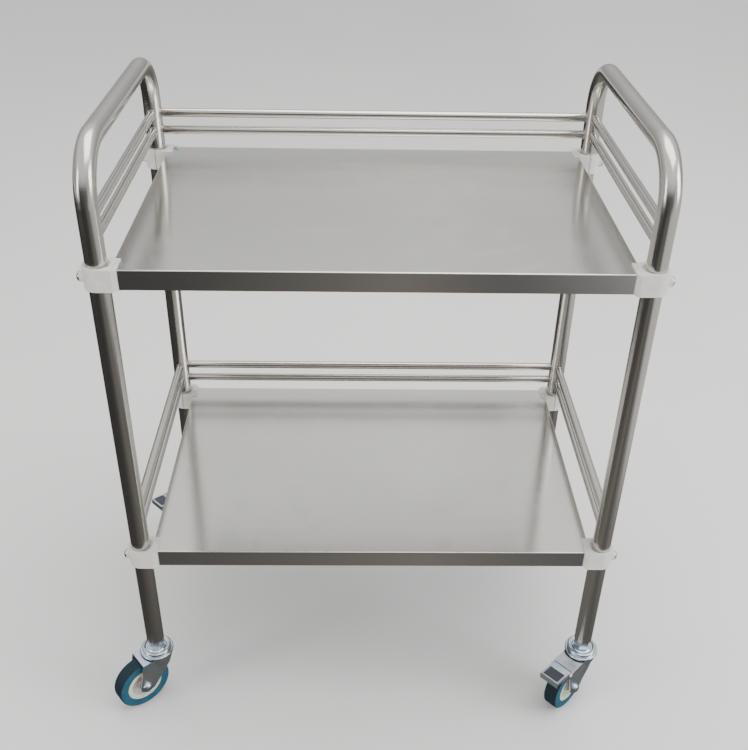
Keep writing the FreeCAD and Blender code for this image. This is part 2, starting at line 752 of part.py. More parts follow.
def fork(corner):
    braked = corner in BRAKED
    body = new_body("Fork")
    cheeks = outline(new_sketch(body, "XZ_Plane"), fork_profile(braked))
    extrude(body, "PartDesign::Pad", cheeks, "fork_outer_width")
    tips = circle(new_sketch(body, "XZ_Plane"), "fork_tip_diameter / 2", "trail", "axle_z")
    extrude(body, "PartDesign::Pad", tips, "fork_outer_width")
    if braked:
        ears = circle(new_sketch(body, "XZ_Plane"), "ear_diameter / 2",
                      "pivot_forward", "pivot_z")
        extrude(body, "PartDesign::Pad", ears, "fork_outer_width")
    turn_profile(body, bell_profile("0", "plate_top_z"), "XZ_Plane")
    gap = outline(new_sketch(body, "XZ_Plane"), fork_hollow(braked))
    extrude(body, "PartDesign::Pocket", gap, "2 * (fork_inner_half)")
    turn_profile(body, bell_profile("fork_thickness", "plate_under_z"), "XZ_Plane", "PartDesign::Groove")
    neck = circle(new_sketch(body, "XY_Plane"), "race_neck_diameter / 2")
    extrude(body, "PartDesign::Pad", neck, "race_neck_height", False, "plate_top_z")
    race = circle(new_sketch(body, "XY_Plane"), "cup_diameter / 2 + race_overhang")
    extrude(body, "PartDesign::Pad", race, "race_height", False, "race_under_z")
    groove = circle(new_sketch(body, "XY_Plane"), "race_groove_r")
    sunk = extrude(body, "PartDesign::Pocket", groove, "race_groove_depth", False, "race_top_z")
    sunk.Reversed = False
    king_hole = circle(new_sketch(body, "XY_Plane"), "king_pin_diameter / 2 + king_pin_gap")
    extrude(body, "PartDesign::Pocket", king_hole, "4 * wheel_diameter")
    axle_hole = circle(new_sketch(body, "XZ_Plane"), "axle_diameter / 2 + axle_hole_gap",
                       "trail", "axle_z")
    extrude(body, "PartDesign::Pocket", axle_hole, "2 * fork_outer_width")
    if braked:
        pin_hole = circle(new_sketch(body, "XZ_Plane"), "pivot_pin_diameter / 2 + bond_gap",
                          "pivot_forward", "pivot_z")
        extrude(body, "PartDesign::Pocket", pin_hole, "2 * fork_outer_width")
    node(on_caster(body, corner), f"{corner}_caster_fork")


def axle_pieces(corner):
    """Axle bolt, its domed nut, and the sleeve that the hub turns on."""
    cheek = "fork_outer_width / 2"
    shank = rod_along_y("axle_diameter / 2", 0, (f"0 - {cheek}", f"{cheek} + axle_nut_height / 2"), 0)
    head = hexagon("axle_head_corner_diameter", "axle_head_height", 0,
                   f"0 - {cheek} - axle_head_height", 0, TO_Y)
    node(on_caster(fuse(shank, head), corner, "trail", "axle_z"), f"{corner}_axle_bolt")
    nut_bore = rod_along_y("axle_diameter / 2 + thread_gap", 0,
                           (cheek, f"{cheek} + axle_nut_height / 2"), 0)
    nut = cut(dome("axle_nut_diameter / 2", "axle_nut_height", 0, cheek, 0, TO_Y), nut_bore)
    node(on_caster(nut, corner, "trail", "axle_z"), f"{corner}_axle_nut")
    half = "(fork_inner_half - sleeve_end_gap)"
    tube = rod_along_y("sleeve_diameter / 2", 0, (f"0 - {half}", half), 0)
    tube_bore = rod_along_y("axle_diameter / 2 + axle_hole_gap", 0, (f"0 - {half}", half), 0)
    node(on_caster(cut(tube, tube_bore), corner, "trail", "axle_z"), f"{corner}_axle_sleeve")


def wheel(corner):
    hub = new_body("Hub")
    bore = "(sleeve_diameter / 2 + hub_running_gap)"
    boss = "hub_boss_diameter / 2"
    dish = "(hub_half - hub_dish_depth)"
    rim = "(hub_r - hub_rim_width)"
    half_profile = [
        (bore, "hub_half"),
        (boss, "hub_half"),
        (f"{boss} + hub_boss_draft", dish),
        (f"{rim} - hub_rim_draft", dish),
        (rim, "hub_half"),
        ("hub_r - bond_gap", "hub_half"),
    ]
    mirrored = [(x, f"0 - ({y})") for x, y in reversed(half_profile)]
    turn_profile(hub, half_profile + mirrored)
    node(on_caster(hub, corner, "trail", "axle_z"), f"{corner}_wheel_hub")

    tread = new_body("Tread")
    half = "wheel_width / 2"
    turned = turn_profile(tread, [("hub_r", f"0 - {half}"), ("wheel_r", f"0 - {half}"),
                                  ("wheel_r", half), ("hub_r", half)])
    doc.recompute()
    rounding = tread.newObject("PartDesign::Fillet", "Shoulders")
    rounding.Base = (turned, edges_of_radius(turned.Shape, SIZES["wheel_diameter"] / 2))
    bind(rounding, "Radius", "tread_shoulder")
    node(on_caster(tread, corner, "trail", "axle_z"), f"{corner}_wheel_tread")


def pedal_top():
    """Side view of the pedal's plate: ribs at the back, flat tread, turned-down front lip."""
    def surface(along, above):
        return (f"pedal_rear + {along}",
                f"pedal_under_z + {above} + pedal_slope_rise * ({along}) / pedal_length")

    points = [surface("0", "0"), surface("0", "pedal_sheet")]
    for rib in range(RIB_COUNT):
        for along, rise in RIB_PROFILE:
            points.append(surface(f"rib_pitch * {rib + along}", f"pedal_sheet + rib_height * {rise}"))
    points.append(surface("pedal_length", "pedal_sheet"))
    points.append(surface("pedal_length", "0 - pedal_lip_drop"))
    points.append(surface("pedal_length - pedal_sheet", "0 - pedal_lip_drop"))
    points.append(surface("pedal_length - pedal_sheet", "0"))
    return points


def pedal_cheek():
    """Side view of one pedal cheek: from the pivot's round end along under the plate."""
    eye = "ear_diameter / 2"
    return [
        ("pivot_forward", f"pivot_z - {eye}"),
        ("pivot_forward", f"pivot_z + {eye}"),
        ("pivot_forward", "pedal_under_z + pedal_sheet / 2"),
        ("pedal_front", "pedal_under_z + pedal_slope_rise + pedal_sheet / 2"),
        ("pedal_front", "pedal_under_z + pedal_slope_rise - pedal_lip_drop / 2"),
    ]


def shoe_tab():
    """Side view of the brake shoe, from the plate down to its tip."""
    half = "shoe_thickness / 2"
    across = f"{half} * sin(shoe_contact_angle + shoe_swing)"
    rise = f"{half} * cos(shoe_contact_angle + shoe_swing)"
    top = "pedal_under_z + pedal_sheet / 2"
    return [
        (f"shoe_x + {across}", f"shoe_z - {rise}"),
        (f"shoe_x + {across} + {half}", top),
        (f"shoe_x - {across} - {half}", top),
        (f"shoe_x - {across}", f"shoe_z + {rise}"),
    ]


def pedal_rims():
    """Side view of the raised rims along the plate's two sides and across its front."""
    back = "pedal_rear + ribbed_length"
    mid = "pedal_under_z + pedal_sheet / 2"
    crest = "pedal_under_z + pedal_sheet + pedal_rim"
    return [
        (back, f"{mid} + ribbed_rise"),
        ("pedal_front", f"{mid} + pedal_slope_rise"),
        ("pedal_front", f"{crest} + pedal_slope_rise"),
        (back, f"{crest} + ribbed_rise"),
    ]


def pedal_tray():
    """Side view of the space over the pedal's tread, between its raised rims."""
    back = "pedal_rear + ribbed_length"
    front = "pedal_front - pedal_rim_width"
    floor = "pedal_under_z + pedal_sheet"
    sky = "2 * pedal_under_z"
    return [
        (back, f"{floor} + ribbed_rise"),
        (front, f"{floor} + pedal_slope_rise"),
        (front, sky),
        ("0", sky),
        ("0", f"{floor} + rib_height + ribbed_rise"),
        (back, f"{floor} + rib_height + ribbed_rise"),
    ]


def pedal_hollow():
    """Side view of the space under the pedal's plate, between its cheeks."""
    front = "pedal_front - pedal_sheet"
    return [
        ("0", "0"),
        (front, "0"),
        (front, "pedal_under_z + pedal_slope_rise"),
        ("pedal_rear", "pedal_under_z"),
        ("0", "pedal_under_z"),
    ]


def pedal(corner):
    body = new_body("Pedal")

    def layer(kind, points, width):
        extrude(body, kind, outline(new_sketch(body, "XZ_Plane"), points), width)

    layer("PartDesign::Pad", pedal_top(), "pedal_width")
    layer("PartDesign::Pad", pedal_cheek(), "2 * pedal_cheek_half")
    eyes = circle(new_sketch(body, "XZ_Plane"), "ear_diameter / 2 - pedal_side_gap",
                  "pivot_forward", "pivot_z")
    extrude(body, "PartDesign::Pad", eyes, "2 * pedal_cheek_half")
    layer("PartDesign::Pad", pedal_rims(), "pedal_width")
    layer("PartDesign::Pocket", pedal_hollow(), "2 * (pedal_cheek_half - pedal_sheet)")
    layer("PartDesign::Pocket", pedal_tray(), "pedal_width - 2 * pedal_rim_width")
    layer("PartDesign::Pad", shoe_tab(), "2 * (pedal_cheek_half - pedal_sheet / 2)")
    pin_hole = circle(new_sketch(body, "XZ_Plane"), "pivot_pin_diameter / 2 + pivot_gap",
                      "pivot_forward", "pivot_z")
    extrude(body, "PartDesign::Pocket", pin_hole, "2 * fork_outer_width")
    node(on_caster(body, corner), f"{corner}_brake_pedal")


def pedal_pin(corner):
    half = "fork_outer_width / 2"
    shank = rod_along_y("pivot_pin_diameter / 2", 0, (f"0 - {half}", half), 0)
    heads = [rod_along_y("pin_head_diameter / 2", 0, span(sign, half, f"{half} + pin_head_height"), 0)
             for sign in (-1, 1)]
    pin = on_caster(fuse(shank, *heads), corner, "pivot_forward", "pivot_z")
    node(pin, f"{corner}_brake_pin")


def casters():
    for corner in CORNERS:
        fork(corner)
        axle_pieces(corner)
        wheel(corner)
        if corner in BRAKED:
            pedal(corner)
            pedal_pin(corner)


# ---------------------------------------------------------------- build, check, write

def build():
    fill_sheet()
    end_frame("left_frame_tube", -1)
    end_frame("right_frame_tube", 1)
    guard_rails()
    shelf("upper_shelf", "upper_shelf_height")
    shelf("lower_shelf", "lower_shelf_height")
    clamps()
    fixed_caster_pieces()
    casters()
    doc.recompute()


def check():
    for item in doc.Objects:
        if "Invalid" in item.State or "Error" in item.State:
            raise RuntimeError(f"{item.Name} ({item.Label}) did not build: {item.State}")
    for item in sub_parts:
        if item.Shape.isNull() or not item.Shape.isValid() or not item.Shape.Solids:
            raise RuntimeError(f"{item.Label} has no valid solid")


def write():
    os.makedirs("parts", exist_ok=True)
    for item in sub_parts:
        item.Shape.exportStep(f"parts/{item.Label}.step")
        count = len(item.Shape.Solids)
        print(f"{item.Label}: {count} solid(s), {item.Shape.Volume / 1000:.2f} cm3")


build()
check()
write()
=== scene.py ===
"""Looks of the two-tier instrument cart: materials, finer pieces, studio and camera.

Metres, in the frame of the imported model: +Z up, -Y is the open front of the cart.
"""
import json
import math

import bmesh
import bpy
from mathutils import Matrix, Vector, noise

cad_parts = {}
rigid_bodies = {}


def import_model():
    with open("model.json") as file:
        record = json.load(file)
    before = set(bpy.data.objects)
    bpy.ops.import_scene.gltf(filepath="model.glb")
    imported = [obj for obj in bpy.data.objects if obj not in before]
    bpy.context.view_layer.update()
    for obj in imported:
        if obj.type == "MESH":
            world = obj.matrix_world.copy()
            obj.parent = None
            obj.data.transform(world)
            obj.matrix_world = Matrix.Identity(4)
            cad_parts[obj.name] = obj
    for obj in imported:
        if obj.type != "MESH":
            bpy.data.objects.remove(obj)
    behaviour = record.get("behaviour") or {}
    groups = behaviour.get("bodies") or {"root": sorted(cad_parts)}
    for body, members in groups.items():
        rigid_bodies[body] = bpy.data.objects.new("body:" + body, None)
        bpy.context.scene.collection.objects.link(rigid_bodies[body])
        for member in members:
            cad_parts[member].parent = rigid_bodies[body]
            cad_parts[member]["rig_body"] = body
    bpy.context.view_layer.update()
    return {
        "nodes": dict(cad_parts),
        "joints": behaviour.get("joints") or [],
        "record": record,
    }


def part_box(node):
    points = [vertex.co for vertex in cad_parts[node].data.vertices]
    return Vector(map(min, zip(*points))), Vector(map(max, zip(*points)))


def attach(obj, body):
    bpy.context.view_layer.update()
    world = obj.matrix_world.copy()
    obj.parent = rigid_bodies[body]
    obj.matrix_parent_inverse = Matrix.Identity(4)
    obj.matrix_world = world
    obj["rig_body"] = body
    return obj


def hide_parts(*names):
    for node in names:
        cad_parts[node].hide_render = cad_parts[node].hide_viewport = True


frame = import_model()
MM = 0.001
FIXED = "cart_frame"
CORNERS = ("front_left", "front_right", "rear_left", "rear_right")
TIERS = ("upper", "lower")


# ---------------------------------------------------------------- places, read from the frame

def middle(node):
    low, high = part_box(node)
    return (low + high) / 2


def joint(name):
    return next(j for j in frame["joints"] if j["name"] == name)


def joint_place(name):
    return Vector(joint(name)["pos_m"]), Vector(joint(name)["axis"])


LEG = middle("right_frame_tube").x
LEG_Y = abs(joint("front_right_swivel")["pos_m"][1])
TUBE_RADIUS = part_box("right_frame_tube")[1].x - LEG
SHELF_TOP = {tier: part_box(f"{tier}_shelf")[1].z for tier in TIERS}
RAIL_RADIUS = (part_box("upper_back_rail_top")[1].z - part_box("upper_back_rail_top")[0].z) / 2
RAIL_LEVELS = [middle(f"{tier}_back_rail_{row}").z for tier in TIERS for row in ("top", "bottom")]
BEND_RADIUS = 60 * MM  # of the end frame's centre line
BEND_Y = LEG_Y - BEND_RADIUS
BEND_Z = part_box("right_frame_tube")[1].z - TUBE_RADIUS - BEND_RADIUS
BRAKED = ("front_right", "rear_left")


# ---------------------------------------------------------------- node graphs

def set_stops(line, stops):
    while len(line) < len(stops):
        line.new(0.5)
    for element, (place, colour) in zip(line, stops):
        element.position = place
        element.color = (*colour, 1)


class Graph:
    """A material's node tree, with short names for the nodes that these materials share."""

    def __init__(self, name, **sockets):
        self.material = bpy.data.materials.new(name)
        self.material.use_nodes = True
        self.tree = self.material.node_tree
        self.shader = self.tree.nodes["Principled BSDF"]
        for socket, value in sockets.items():
            self.shader.inputs[socket.replace("_", " ")].default_value = value
        self.place = self.add("ShaderNodeTexCoord").outputs["Object"]

    @classmethod
    def of(cls, material):
        """The graph of a material that is already there, to add to it."""
        made = cls.__new__(cls)
        made.material = material
        made.tree = material.node_tree
        made.shader = made.tree.nodes["Principled BSDF"]
        made.place = made.add("ShaderNodeTexCoord").outputs["Object"]
        return made

    def source(self, socket):
        """The output that feeds one of the shader's sockets."""
        return self.shader.inputs[socket].links[0].from_socket

    def add(self, kind, **settings):
        made = self.tree.nodes.new(kind)
        for key, value in settings.items():
            setattr(made, key, value)
        return made

    def link(self, source, target):
        self.tree.links.new(source, target)

    def feed(self, target, value):
        """Link an output, or set a plain number or vector."""
        if isinstance(value, bpy.types.NodeSocket):
            self.link(value, target)
        else:
            target.default_value = value

    def set(self, socket, value):
        self.feed(self.shader.inputs[socket], value)

    def math(self, operation, a, b=0.0):
        made = self.add("ShaderNodeMath", operation=operation)
        self.feed(made.inputs[0], a)
        self.feed(made.inputs[1], b)
        return made.outputs[0]

    def vector(self, operation, a, b=(0, 0, 0), out="Vector"):
        made = self.add("ShaderNodeVectorMath", operation=operation)
        self.feed(made.inputs[0], a)
        self.feed(made.inputs[1], b)
        return made.outputs[out]

    def split(self, vector):
        made = self.add("ShaderNodeSeparateXYZ")
        self.link(vector, made.inputs[0])
        return made.outputs

    def facing(self):
        """The outward direction of each flat face."""
        return self.add("ShaderNodeNewGeometry").outputs["True Normal"]

    def grey(self, shade):
        return self.join(shade, shade, shade)

    def join(self, x, y, z):
        made = self.add("ShaderNodeCombineXYZ")
        for target, value in zip(made.inputs, (x, y, z)):
            self.feed(target, value)
        return made.outputs[0]

    def noise(self, scale, detail=3.0, stretch=(1, 1, 1), distortion=0.0):
        """Noise with features of about 1/scale metres, stretched along an axis by a small factor."""
        made = self.add("ShaderNodeTexNoise")
        self.link(self.vector("MULTIPLY", self.place, stretch), made.inputs["Vector"])
        made.inputs["Scale"].default_value = scale
        made.inputs["Detail"].default_value = detail
        made.inputs["Distortion"].default_value = distortion
        return made.outputs["Fac"]

    def span(self, value, low, high, to_low=0.0, to_high=1.0):
        """Map low..high to to_low..to_high, held at both ends."""
        made = self.add("ShaderNodeMapRange")
        for socket, number in zip(made.inputs, (value, low, high, to_low, to_high)):
            self.feed(socket, number)
        return made.outputs[0]

    def ramp(self, value, stops):
        """Colours at (position, colour) stops along value."""
        made = self.add("ShaderNodeValToRGB")
        self.link(value, made.inputs[0])
        set_stops(made.color_ramp.elements, stops)
        return made.outputs[0]

    def mix(self, share, a, b):
        made = self.add("ShaderNodeMix", data_type="RGBA")
        self.feed(made.inputs["Factor"], share)
        for target, value in ((made.inputs["A"], a), (made.inputs["B"], b)):
            self.feed(target, value if isinstance(value, bpy.types.NodeSocket) else (*value, 1))
        return made.outputs["Result"]

    def bump(self, height, depth, strength=1.0):
        """Bump of a height map, depth metres deep."""
        made = self.add("ShaderNodeBump")
        self.link(height, made.inputs["Height"])
        made.inputs["Distance"].default_value = depth
        made.inputs["Strength"].default_value = strength
        self.set("Normal", made.outputs[0])

    def add_up(self, *shares):
        """Sum of (output, weight) pairs."""
        total = 0.0
        for output, weight in shares:
            total = self.math("ADD", self.math("MULTIPLY", output, weight), total)
        return total


# ---------------------------------------------------------------- materials

TINT_REACH = (6 * MM, 9.5 * MM)  # from a weld's middle, full tint to none
TINT_WAVER = 2.2 * MM
RACE_HEIGHT = 3.7 * MM  # of the fork's race, down from its top
RACE_SHADOW = (23.6 * MM, 26.4 * MM)  # from the swivel's axis, full painted shadow under the race to none
# on a brake pedal, distances ahead of the swivel's axis and to the side of its middle
RIBS_START = 46.6 * MM
RIBS_END = 57.2 * MM
RIB_PITCH = 2.6 * MM
TREAD_START = 58.8 * MM
TREAD_END = 79.4 * MM
TREAD_HALF = 12.4 * MM
EDGE_FADE = 0.6 * MM
SIDE_FADE = 0.4 * MM
LEVEL = 0.9  # upward part of a normal on a level face
SLOPING = 0.4


def weld_distance(g):
    """Distance to the nearest weld, on a place mirrored into one quarter of the cart."""
    x, y, z = g.split(g.place)
    mirrored_x = g.math("ABSOLUTE", x)
    side = g.join(mirrored_x, g.math("ABSOLUTE", y), z)
    back = g.join(mirrored_x, y, z)
    nearest = 1.0
    for level in RAIL_LEVELS:
        on_side = (LEG, LEG_Y - TUBE_RADIUS, level)
        on_back = (LEG - TUBE_RADIUS, LEG_Y, level)
        for place, spot in ((side, on_side), (back, on_back)):
            nearest = g.math("MINIMUM", g.vector("DISTANCE", place, spot, out="Value"), nearest)
    return nearest


def tube_run(g):
    """Direction along the bent end frame: up the legs, round the bends, along the handle."""
    _, y, z = g.split(g.place)
    over = g.math("MAXIMUM", g.math("SUBTRACT", z, BEND_Z), 0.0)
    out = g.math("MAXIMUM", g.math("SUBTRACT", g.math("ABSOLUTE", y), BEND_Y), 0.0)
    side = g.span(g.math("GREATER_THAN", y, 0.0), 0, 1, 1, -1)
    return g.join(0.0, g.math("MULTIPLY", over, side), out)


def tube_steel(name, base, rough, run=None):
    """Satin stainless with polishing smears, and heat tint round the welds.

    run is the direction of a straight rail, and left out for a bent end frame."""
    g = Graph(name, Metallic=1.0, Anisotropic=0.6)
    g.set("Tangent", run or tube_run(g))
    smear = g.noise(9, 2, (1, 1, 0.25))
    grime = g.noise(38, 3, (1, 1, 0.5))
    waver = g.span(g.noise(220, 3), 0, 1, -TINT_WAVER, TINT_WAVER)
    share = g.span(g.math("ADD", weld_distance(g), waver), *TINT_REACH, 0.6, 0)
    dark, warm, cool = (0.34, 0.31, 0.28), (0.58, 0.53, 0.46), (0.57, 0.57, 0.58)
    tint = g.ramp(share, [(0, base), (0.28, cool), (0.5, warm), (0.95, dark)])
    shade = g.span(smear, 0.3, 0.7, 0.94, 1.03)
    g.set("Base Color", g.vector("MULTIPLY", tint, g.grey(shade)))
    satin = g.span(grime, 0.3, 0.75, *rough)
    g.set("Roughness", g.math("ADD", satin, g.span(share, 0, 1, 0, 0.18)))
    g.bump(grime, 0.00002, 0.12)
    return g.material


def sheet_steel(name, base):
    """Brushed stainless sheet: grain along X, along Y on the end lips."""
    g = Graph(name, Metallic=1.0, Anisotropic=0.9)
    facing = g.facing()
    end = g.math("GREATER_THAN", g.math("ABSOLUTE", g.split(facing)[0]), 0.7)
    grain = g.join(g.math("SUBTRACT", 1.0, end), end, 0.0)
    g.set("Tangent", g.vector("CROSS_PRODUCT", facing, grain))
    line = g.noise(520, 2, (0.008, 1, 1))
    band = g.noise(42, 2, (0.04, 1, 1))
    cloud = g.noise(3.5, 2)
    smudge = g.noise(26, 5, (1, 1, 1), distortion=0.6)
    streak = g.span(band, 0.3, 0.7, 0.985, 1.015)
    shade = g.add_up((streak, 0.5), (g.span(cloud, 0.3, 0.7, 0.97, 1.02), 0.5))
    g.set("Base Color", g.vector("MULTIPLY", base, g.grey(shade)))
    brushed = g.span(line, 0.25, 0.75, 0.155, 0.185)
    g.set("Roughness", g.add_up((brushed, 1.0), (g.span(smudge, 0.52, 0.74, 0, 0.03), 1.0)))
    g.bump(g.add_up((line, 0.06), (cloud, 3.0)), 0.00006, 0.2)
    return g.material


def zinc(name, base=(0.70, 0.74, 0.77), rough=(0.20, 0.36)):
    """Bright zinc plate, a little blue and cloudy."""
    g = Graph(name, Metallic=1.0)
    cloud = g.noise(120, 4)
    grain = g.noise(900, 3)
    haze = g.noise(35, 3)
    blue = tuple(c * f for c, f in zip(base, (0.80, 0.93, 1.06)))
    dull = tuple(c * 0.72 for c in base)
    colour = g.mix(g.span(haze, 0.35, 0.65), base, blue)
    g.set("Base Color", g.mix(g.span(cloud, 0.56, 0.78, 0, 0.6), colour, dull))
    g.set("Roughness", g.span(g.add_up((cloud, 0.6), (grain, 0.4)), 0.3, 0.7, *rough))
    g.bump(g.add_up((grain, 0.4), (cloud, 0.8)), 0.00005, 0.3)
    return g.material


def fork_zinc(corner):
    """Zinc plate of a fork: shinier on its rolled race, with painted shadow darkening the plate under
    the race.
    """
    material = zinc(f"fork_zinc_{corner}", (0.80, 0.82, 0.83), (0.30, 0.44))
    swivel, _ = joint_place(f"{corner}_swivel")
    race_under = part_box(f"{corner}_caster_fork")[1].z - RACE_HEIGHT
    g = Graph.of(material)
    level = g.vector("MULTIPLY", g.vector("SUBTRACT", g.place, tuple(swivel)), (1, 1, 0))
    radius = g.vector("LENGTH", level, out="Value")
    race = g.math("GREATER_THAN", g.split(g.place)[2], race_under)
    up = g.split(g.facing())[2]
    # painted shadow: level faces of the plate under the race are darkened towards the swivel's axis
    shadow = g.math("MULTIPLY", g.math("SUBTRACT", 1.0, race), g.span(radius, *RACE_SHADOW, 0.85, 0))
    shadow = g.math("MULTIPLY", shadow, g.math("GREATER_THAN", up, LEVEL))
    g.set("Base Color", g.mix(shadow, g.source("Base Color"), (0.04, 0.04, 0.04)))
    g.set("Roughness", g.math("SUBTRACT", g.source("Roughness"), g.math("MULTIPLY", race, 0.14)))
    return material


def pedal_zinc(corner):
    """Zinc plate of a brake pedal: bright rims, painted shade in the rib grooves, and a painted dark
    reflection on the sunken tread, which is also rougher.
    """
    material = zinc(f"pedal_zinc_{corner}", (0.84, 0.86, 0.87), (0.30, 0.44))
    swivel, _ = joint_place(f"{corner}_swivel")
    _, across = joint_place(f"{corner}_brake_press")
    ahead = across.cross(Vector((0, 0, 1)))
    g = Graph.of(material)
    local = g.vector("SUBTRACT", g.place, tuple(swivel))
    along = g.vector("DOT_PRODUCT", local, tuple(ahead), out="Value")
    aside = g.math("ABSOLUTE", g.vector("DOT_PRODUCT", local, tuple(across), out="Value"))
    up = g.split(g.facing())[2]
    # the sunken tread: a painted dark reflection in its base colour, and a rougher finish
    behind = g.span(along, TREAD_START, TREAD_START + EDGE_FADE)
    tread = g.math("MULTIPLY", behind, g.span(along, TREAD_END, TREAD_END + EDGE_FADE, 1, 0))
    tread = g.math("MULTIPLY", tread, g.span(aside, TREAD_HALF, TREAD_HALF + SIDE_FADE, 1, 0))
    tread = g.math("MULTIPLY", tread, g.math("GREATER_THAN", up, LEVEL))
    # painted shade: dark lines in the grooves between the ribs
    turn = g.math("MULTIPLY", g.math("SUBTRACT", along, RIBS_START), 2 * math.pi / RIB_PITCH)
    ribbed = g.span(along, RIBS_END, RIBS_END + EDGE_FADE, 1, 0)
    groove_shade = g.math("MULTIPLY", g.span(g.math("SINE", turn), 0.0, 0.9, 0, 0.8), ribbed)
    groove_shade = g.math("MULTIPLY", groove_shade, g.math("GREATER_THAN", up, SLOPING))
    bright = g.mix(groove_shade, g.source("Base Color"), (0.10, 0.10, 0.115))
    g.set("Base Color", g.mix(tread, bright, (0.12, 0.125, 0.15)))
    g.set("Roughness", g.math("ADD", g.source("Roughness"), g.math("MULTIPLY", tread, 0.12)))
    return material


def bright_steel(name):
    """Plain turned or pressed stainless of a bolt head."""
    g = Graph(name, Metallic=1.0)
    scuff = g.noise(500, 3)
    cloud = g.noise(150, 3)
    g.set("Base Color", g.ramp(cloud, [(0.3, (0.60, 0.60, 0.60)), (0.7, (0.80, 0.80, 0.79))]))
    g.set("Roughness", g.span(scuff, 0.3, 0.7, 0.14, 0.30))
    g.bump(scuff, 0.00004, 0.5)
    return g.material


def nylon(name, base, shade):
    """Moulded nylon, faintly translucent, with a fine moulded skin."""
    g = Graph(name, Subsurface_Weight=0.35, Subsurface_Scale=0.004, IOR=1.52, Coat_Weight=0.08)
    g.shader.inputs["Subsurface Radius"].default_value = (1.0, 0.85, 0.65)
    skin = g.noise(1400, 3)
    cloud = g.noise(90, 4)
    g.set("Base Color", g.mix(g.span(cloud, 0.35, 0.72), base, shade))
    g.set("Roughness", g.span(g.add_up((skin, 0.5), (cloud, 0.5)), 0.3, 0.7, 0.34, 0.48))
    g.bump(g.add_up((skin, 0.6), (cloud, 1.2)), 0.0001, 0.4)
    return g.material


def axle_place(g, corner):
    """(distance from the axle, height along the axle) of a place on a wheel."""
    centre, axis = joint_place(f"{corner}_wheel_spin")
    local = g.vector("SUBTRACT", g.place, tuple(centre))
    along = g.vector("DOT_PRODUCT", local, tuple(axis), out="Value")
    aside = g.vector("SUBTRACT", local, g.vector("MULTIPLY", tuple(axis), g.grey(along)))
    return g.vector("LENGTH", aside, out="Value"), along


def tread_rubber(corner):
    """Blue-green rubber, rougher where it rolls, with painted shade darkening the rolling face in
    specks.
    """
    g = Graph(f"tread_rubber_{corner}", IOR=1.5, Specular_IOR_Level=0.3)
    radius, _ = axle_place(g, corner)
    low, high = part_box(f"{corner}_wheel_tread")
    wheel_radius = (high.z - low.z) / 2
    rolling = g.span(radius, wheel_radius - 0.0022, wheel_radius - 0.0006)
    speck = g.noise(420, 4)
    cloud = g.noise(60, 4)
    rubber_colour = g.ramp(cloud, [(0.3, (0.017, 0.102, 0.158)), (0.7, (0.027, 0.135, 0.198))])
    # painted shade on the rolling face: near-black speckled colours
    rolling_shade = g.ramp(speck, [(0.35, (0.004, 0.012, 0.019)), (0.7, (0.011, 0.026, 0.036))])
    g.set("Base Color", g.mix(g.math("MULTIPLY", rolling, 0.92), rubber_colour, rolling_shade))
    g.set("Roughness", g.span(g.add_up((rolling, 0.5), (speck, 0.5)), 0.15, 0.8, 0.42, 0.68))
    g.bump(g.add_up((speck, 0.7), (cloud, 0.5)), 0.00012, 0.5)
    return g.material


def hub_nylon(corner):
    """Off-white moulded hub, darker brown near the axle from grease and painted shade."""
    g = Graph(f"hub_nylon_{corner}", IOR=1.5, Subsurface_Weight=0.2, Subsurface_Scale=0.003)
    radius, _ = axle_place(g, corner)
    cloud = g.noise(140, 4)
    # grease and painted shade: darker brown towards the axle, with a noisy edge
    grease_and_shade = g.span(g.math("ADD", radius, g.span(cloud, 0.2, 0.8, -0.003, 0.003)), 0.010, 0.0195, 1, 0)
    clean = g.ramp(cloud, [(0.3, (0.72, 0.69, 0.60)), (0.7, (0.84, 0.82, 0.75))])
    g.set("Base Color", g.mix(g.math("MULTIPLY", grease_and_shade, 0.7), clean, (0.30, 0.26, 0.20)))
    g.set("Roughness", g.span(cloud, 0.3, 0.7, 0.34, 0.5))
    g.bump(g.noise(1100, 3), 0.00008, 0.4)
    return g.material


def assign(piece, material):
    piece.data.materials.clear()
    piece.data.materials.append(material)


# ---------------------------------------------------------------- finer pieces

def new_piece(name, bm, material, body, smooth_angle=35):
    """Make a piece from a bmesh, smooth-shaded up to an angle in degrees, that rides on a body."""
    mesh = bpy.data.meshes.new(name)
    bm.to_mesh(mesh)
    bm.free()
    for layer in ("custom_normal", "UVMap"):
        if layer in mesh.attributes:
            mesh.attributes.remove(mesh.attributes[layer])
    mesh.shade_smooth()
    mesh.set_sharp_from_angle(angle=math.radians(smooth_angle))
    mesh.materials.clear()
    mesh.materials.append(material)
    piece = bpy.data.objects.new(name, mesh)
    bpy.context.scene.collection.objects.link(piece)
    even = piece.modifiers.new("even_normals", "WEIGHTED_NORMAL")
    even.keep_sharp = True
    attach(piece, body)
    return piece


SHARP_EDGE = math.radians(28)  # edges that turn more than this are rounded
FLAT_EDGE = math.radians(0.6)  # edges that turn less than this are dropped


def softened(node, name, material, width, wide=None):
    """A copy of a CAD node with its sharp edges rounded, which stands for it.

    wide is a (test, width) pair for the edges that are rounded more."""
    source = frame["nodes"][node]
    bm = bmesh.new()
    bm.from_mesh(source.data)
    bmesh.ops.remove_doubles(bm, verts=bm.verts, dist=2e-6)
    bmesh.ops.dissolve_limit(bm, angle_limit=FLAT_EDGE, verts=bm.verts, edges=bm.edges)

    def bevel(chosen, offset, steps):
        inner = [e for e in bm.edges if len(e.link_faces) == 2]
        sharp = [e for e in inner if e.calc_face_angle(0) > SHARP_EDGE and chosen(e)]
        bmesh.ops.bevel(bm, geom=sharp, offset=offset, segments=steps, profile=0.5,
                        affect="EDGES", clamp_overlap=False)

    if wide:
        bevel(wide[0], wide[1], 4)
    bevel(lambda edge: True, width, 2)
    bmesh.ops.triangulate(bm, faces=[f for f in bm.faces if len(f.verts) > 4])
    bmesh.ops.recalc_face_normals(bm, faces=bm.faces)
    piece = new_piece(name, bm, material, source["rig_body"])
    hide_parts(node)
    return piece


